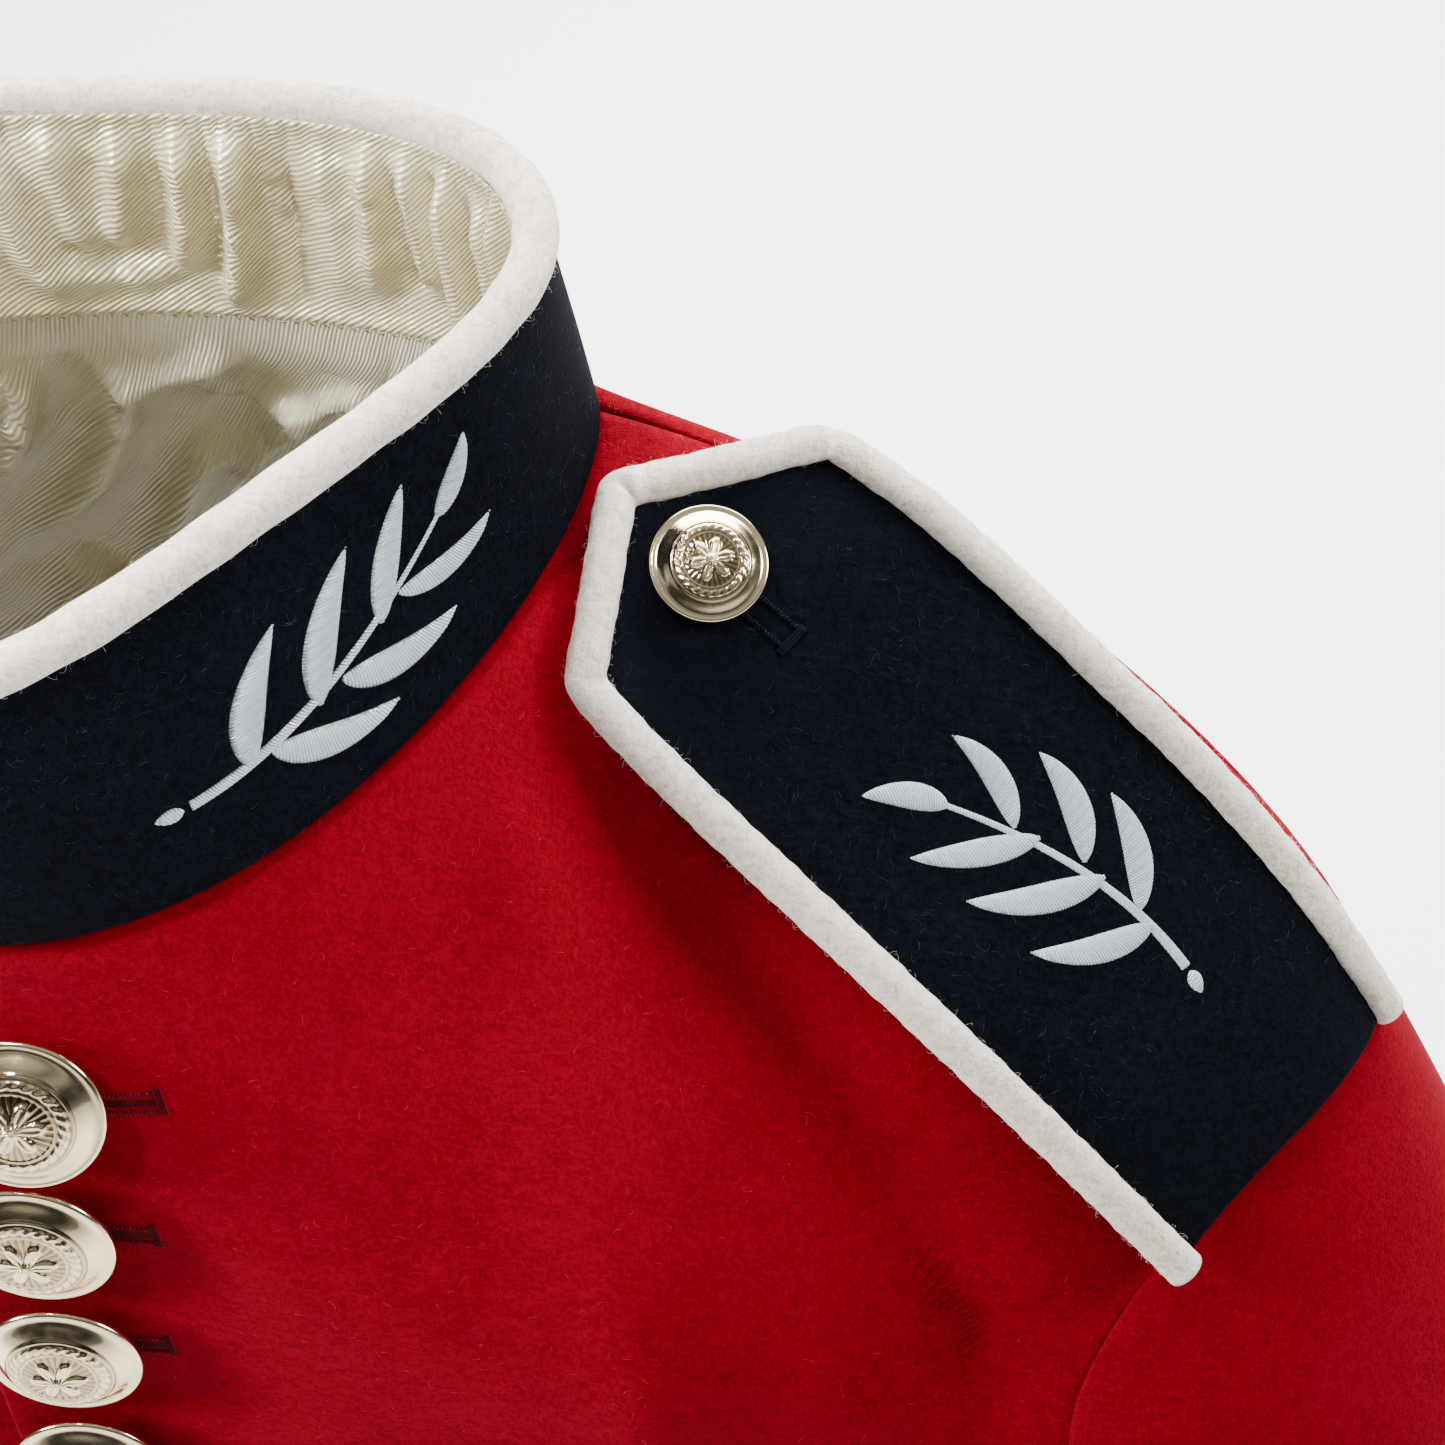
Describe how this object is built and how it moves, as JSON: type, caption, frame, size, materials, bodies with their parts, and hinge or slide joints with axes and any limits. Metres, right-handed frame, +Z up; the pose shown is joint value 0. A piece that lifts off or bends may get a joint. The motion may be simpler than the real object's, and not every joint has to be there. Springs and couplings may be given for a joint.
{
  "type": "foot guards tunic",
  "caption": "Full-dress scarlet wool tunic with a piped standing collar, pointed shoulder straps, satin lining and a row of domed buttons, standing open and hollow",
  "frame": {"origin": "centre of the collar's base ring, where the wearer's neck and shoulders hold the tunic", "axes": "+Z up from hem to collar, -Y the wearer's front, +X the wearer's left side"},
  "size_m": [0.5834, 0.2244, 0.7556],
  "materials": {
    "scarlet_wool": "milled and felted, matt",
    "navy_wool": "milled and felted, matt",
    "off_white_wool": "milled and felted, matt",
    "champagne_satin": "twill satin with a soft sheen",
    "gilt_metal": "polished pale gilt"
  },
  "bodies": {
    "root": {"left_front": "scarlet_wool", "right_front": "scarlet_wool", "left_back": "scarlet_wool", "right_back": "scarlet_wool", "left_top_sleeve": "scarlet_wool", "left_under_sleeve": "scarlet_wool", "right_top_sleeve": "scarlet_wool", "right_under_sleeve": "scarlet_wool", "collar": "navy_wool", "left_strap": "navy_wool", "right_strap": "navy_wool", "collar_piping": "off_white_wool", "left_strap_piping": "off_white_wool", "right_strap_piping": "off_white_wool", "collar_lining": "champagne_satin", "left_front_lining": "champagne_satin", "right_front_lining": "champagne_satin", "back_lining": "champagne_satin", "left_strap_button": "gilt_metal", "right_strap_button": "gilt_metal", "front_button_01": "gilt_metal", "front_button_02": "gilt_metal", "front_button_03": "gilt_metal", "front_button_04": "gilt_metal", "front_button_05": "gilt_metal", "front_button_06": "gilt_metal", "front_button_07": "gilt_metal", "front_button_08": "gilt_metal", "front_button_09": "gilt_metal", "front_button_10": "gilt_metal"}
  },
  "joints": []
}
